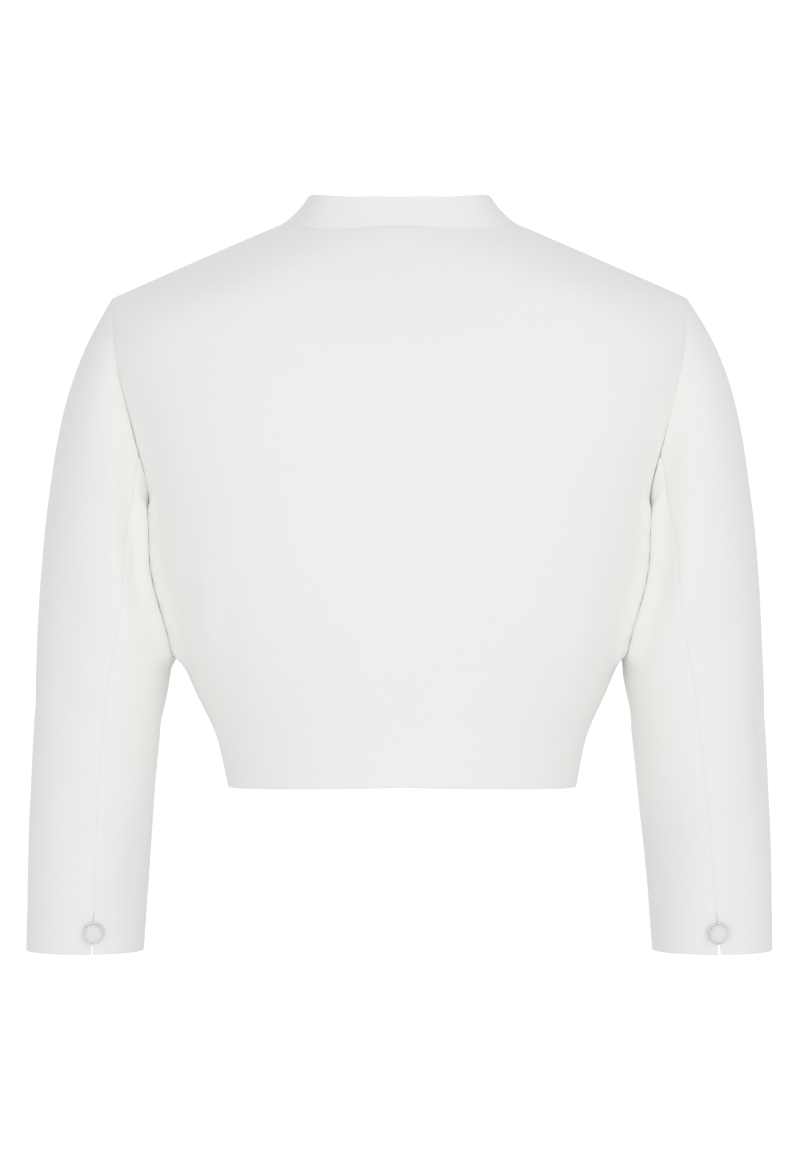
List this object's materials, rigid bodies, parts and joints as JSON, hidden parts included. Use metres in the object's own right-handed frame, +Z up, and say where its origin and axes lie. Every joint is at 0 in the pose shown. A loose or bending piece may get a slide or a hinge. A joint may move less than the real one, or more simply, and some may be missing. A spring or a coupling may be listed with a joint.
{
  "type": "bolero jacket",
  "caption": "Cropped open-front jacket with a low stand collar and three-quarter two-piece sleeves, each with a vent, a covered button and a loop, filled out as if worn.",
  "frame": {"origin": "middle of the base of the neck, level with the points where the shoulder seams meet the collar", "axes": "+Z up along the wearer's neck, +X to the wearer's left sleeve, -Y to the wearer's front"},
  "size_m": [0.5267, 0.2193, 0.5297],
  "materials": {
    "crepe": "fine matt ivory crepe",
    "button_cover": "ivory crepe stretched over a domed button",
    "loop_cord": "ivory rouleau cord"
  },
  "bodies": {
    "root": {"back": "crepe", "front_left": "crepe", "front_right": "crepe", "collar": "crepe", "upper_sleeve_left": "crepe", "under_sleeve_left": "crepe", "upper_sleeve_right": "crepe", "under_sleeve_right": "crepe", "button_left": "button_cover", "button_right": "button_cover", "loop_left": "loop_cord", "loop_right": "loop_cord"}
  },
  "joints": []
}
